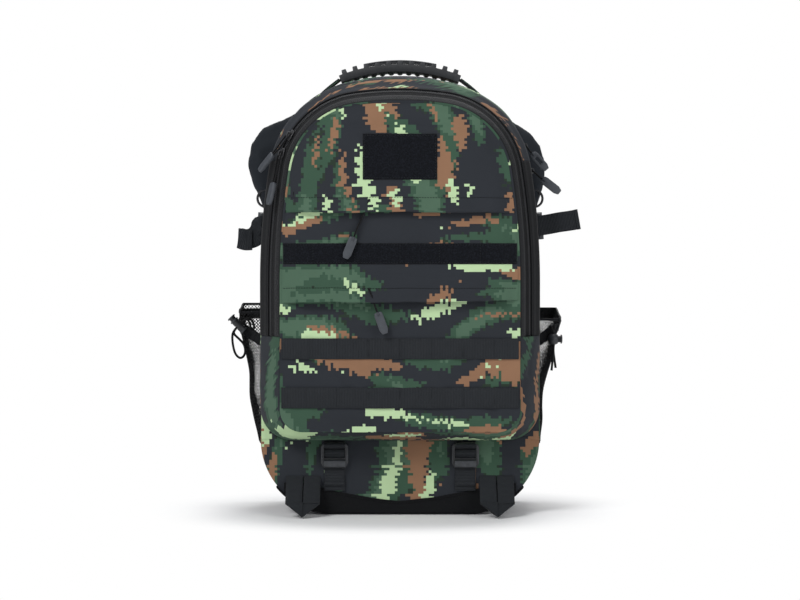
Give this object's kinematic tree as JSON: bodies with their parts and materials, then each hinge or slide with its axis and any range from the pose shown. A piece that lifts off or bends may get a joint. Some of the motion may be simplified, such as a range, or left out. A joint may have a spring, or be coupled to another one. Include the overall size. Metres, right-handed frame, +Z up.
{
  "type": "hunting backpack",
  "caption": "Arched fabric day pack with zipped front and main compartments, pocket hems, webbing rows, net side pockets, buckles and a ribbed rubber grab handle.",
  "frame": {"origin": "on the floor under the base, in the middle of its width, at the depth just before the main zip", "axes": "+Z up, -Y towards the front panel, +X to the right seen from the front"},
  "size_m": [0.4405, 0.2896, 0.5628],
  "materials": {
    "camo_fabric": "woven polyester, printed woodland camouflage",
    "back_fabric": "black spacer mesh over foam",
    "strap_fabric": "smooth dark slate fabric over foam",
    "black_fabric": "heavy coated black fabric",
    "frame_plastic": "thin plastic sheet",
    "zip_tape": "black woven tape with nylon coil",
    "webbing": "ribbed nylon webbing",
    "loop_pile": "fuzzy loop pile",
    "net": "black net with an elastic band",
    "cord": "braided elastic cord",
    "handle_rubber": "matt moulded rubber",
    "buckle_plastic": "moulded acetal, fine grain",
    "ring_metal": "gloss black enamel",
    "slider_metal": "satin black lacquer",
    "pull_rubber": "moulded soft grip on a cord loop"
  },
  "bodies": {
    "pack": {"back_panel": "back_fabric", "frame_sheet": "frame_plastic", "rear_gusset": "camo_fabric", "lower_front_panel": "camo_fabric", "base_boot": "black_fabric", "main_zip_rear_tape": "zip_tape", "handle_tabs": "webbing", "lower_straps": "webbing", "base_loops": "webbing", "back_pads": "back_fabric", "shoulder_strap_left": "strap_fabric", "shoulder_strap_right": "strap_fabric", "shoulder_webbing": "webbing", "shoulder_locks": "buckle_plastic", "shoulder_rings": "ring_metal", "chest_strap_left": "webbing", "chest_socket": "buckle_plastic", "mesh_pocket_left": "net", "mesh_pocket_right": "net", "pocket_cord_left": "cord", "pocket_cord_right": "cord", "cord_lock_left": "buckle_plastic", "cord_lock_right": "buckle_plastic", "side_straps": "webbing", "side_sockets": "buckle_plastic"},
    "main_flap": {"main_zip_front_tape": "zip_tape", "mid_gusset": "camo_fabric", "divider_panel": "camo_fabric", "front_gusset": "camo_fabric", "front_zip_rear_tape": "zip_tape", "front_panel_lower": "camo_fabric", "webbing_rows": "webbing"},
    "front_flap": {"front_zip_front_tape": "zip_tape", "front_panel_upper": "camo_fabric", "upper_pocket": "camo_fabric", "middle_pocket": "camo_fabric", "loop_panels": "loop_pile", "pocket_zips": "zip_tape"},
    "handle": {"handle_grip": "handle_rubber", "handle_webbing": "webbing"},
    "front_slider_low": {"front_slider_low": "slider_metal"},
    "front_slider_low_pull": {"front_slider_low_pull": "pull_rubber"},
    "front_slider_high": {"front_slider_high": "slider_metal"},
    "front_slider_high_pull": {"front_slider_high_pull": "pull_rubber"},
    "main_slider_low": {"main_slider_low": "slider_metal"},
    "main_slider_low_pull": {"main_slider_low_pull": "pull_rubber"},
    "main_slider_high": {"main_slider_high": "slider_metal"},
    "main_slider_high_pull": {"main_slider_high_pull": "pull_rubber"},
    "upper_pocket_slider": {"upper_pocket_slider": "slider_metal"},
    "upper_pocket_slider_pull": {"upper_pocket_slider_pull": "pull_rubber"},
    "lower_pocket_slider": {"lower_pocket_slider": "slider_metal"},
    "lower_pocket_slider_pull": {"lower_pocket_slider_pull": "pull_rubber"},
    "low_lock_left": {"low_lock_left": "buckle_plastic"},
    "low_lock_right": {"low_lock_right": "buckle_plastic"},
    "cord_plunger_left": {"cord_plunger_left": "buckle_plastic"},
    "cord_plunger_right": {"cord_plunger_right": "buckle_plastic"},
    "chest_plug": {"chest_plug": "buckle_plastic", "chest_strap_right": "webbing"},
    "side_plug_left": {"side_plug_left": "buckle_plastic"},
    "side_plug_right": {"side_plug_right": "buckle_plastic"}
  },
  "joints": [
    {"name": "main_opening", "type": "hinge", "parent": "pack", "child": "main_flap", "pos_m": [0, -0.058, 0.091], "axis": [1, 0, 0], "range_deg": [0, 60]},
    {"name": "front_opening", "type": "hinge", "parent": "main_flap", "child": "front_flap", "pos_m": [0, -0.087, 0.2195], "axis": [1, 0, 0], "range_deg": [0, 75]},
    {"name": "handle_swing", "type": "hinge", "parent": "pack", "child": "handle", "pos_m": [0, 0.058, 0.50858], "axis": [1, 0, 0], "range_deg": [-13, 13]},
    {"name": "front_slider_low_run", "type": "hinge", "parent": "main_flap", "child": "front_slider_low", "pos_m": [-0.04112, -0.062, 0.40723], "axis": [0, -1, 0], "range_deg": [0, 8.5]},
    {"name": "front_slider_low_pull_swing", "type": "hinge", "parent": "front_slider_low", "child": "front_slider_low_pull", "pos_m": [-0.14488, -0.06416, 0.44119], "axis": [-0.522, 0.8512, -0.0556], "range_deg": [0, 60]},
    {"name": "front_slider_high_run", "type": "hinge", "parent": "main_flap", "child": "front_slider_high", "pos_m": [-0.04112, -0.062, 0.40723], "axis": [0, 1, 0], "range_deg": [0, 40]},
    {"name": "front_slider_high_pull_swing", "type": "hinge", "parent": "front_slider_high", "child": "front_slider_high_pull", "pos_m": [-0.13438, -0.06416, 0.46399], "axis": [-0.2492, 0.8338, 0.4926], "range_deg": [0, 60]},
    {"name": "main_slider_low_run", "type": "hinge", "parent": "pack", "child": "main_slider_low", "pos_m": [-0.735, 0.01, 0.283], "axis": [0, 1, 0], "range_deg": [0, 8.8]},
    {"name": "main_slider_low_pull_swing", "type": "hinge", "parent": "main_slider_low", "child": "main_slider_low_pull", "pos_m": [0.16401, 0.01, 0.42268], "axis": [0, -1, 0], "range_deg": [0, 24]},
    {"name": "main_slider_high_run", "type": "hinge", "parent": "pack", "child": "main_slider_high", "pos_m": [0.04112, 0.01, 0.40723], "axis": [0, -1, 0], "range_deg": [0, 40]},
    {"name": "main_slider_high_pull_swing", "type": "hinge", "parent": "main_slider_high", "child": "main_slider_high_pull", "pos_m": [0.15589, 0.01, 0.45365], "axis": [0, -1, 0], "range_deg": [0, 60]},
    {"name": "upper_pocket_slider_run", "type": "slide", "parent": "front_flap", "child": "upper_pocket_slider", "axis": [1, 0, 0], "range_m": [-0.076, 0.152]},
    {"name": "upper_pocket_slider_pull_swing", "type": "hinge", "parent": "upper_pocket_slider", "child": "upper_pocket_slider_pull", "pos_m": [-0.038, -0.0963, 0.3815], "axis": [0, -1, 0], "range_deg": [0, 44]},
    {"name": "lower_pocket_slider_run", "type": "slide", "parent": "front_flap", "child": "lower_pocket_slider", "axis": [1, 0, 0], "range_m": [-0.078, 0.15]},
    {"name": "lower_pocket_slider_pull_swing", "type": "hinge", "parent": "lower_pocket_slider", "child": "lower_pocket_slider_pull", "pos_m": [-0.036, -0.0963, 0.2745], "axis": [0, 1, 0], "range_deg": [0, 40]},
    {"name": "low_lock_tilt_left", "type": "hinge", "parent": "pack", "child": "low_lock_left", "pos_m": [-0.08, -0.0433, 0.0767], "axis": [-1, 0, 0], "range_deg": [0, 12]},
    {"name": "low_lock_tilt_right", "type": "hinge", "parent": "pack", "child": "low_lock_right", "pos_m": [0.08, -0.0433, 0.0767], "axis": [-1, 0, 0], "range_deg": [0, 12]},
    {"name": "cord_lock_press_left", "type": "slide", "parent": "pack", "child": "cord_plunger_left", "axis": [0.6919, 0, -0.722], "range_m": [0, 0.0026], "stiffness_N_per_m": 300, "springref_m": -0.002},
    {"name": "cord_lock_press_right", "type": "slide", "parent": "pack", "child": "cord_plunger_right", "axis": [-1, 0, 0], "range_m": [0, 0.0026], "stiffness_N_per_m": 300, "springref_m": -0.002},
    {"name": "chest_release", "type": "slide", "parent": "pack", "child": "chest_plug", "axis": [1, 0, 0], "range_m": [0, 0.026]},
    {"name": "side_release_left", "type": "slide", "parent": "pack", "child": "side_plug_left", "axis": [0, 1, 0], "range_m": [0, 0.026]},
    {"name": "side_release_right", "type": "slide", "parent": "pack", "child": "side_plug_right", "axis": [0, 1, 0], "range_m": [0, 0.026]}
  ]
}
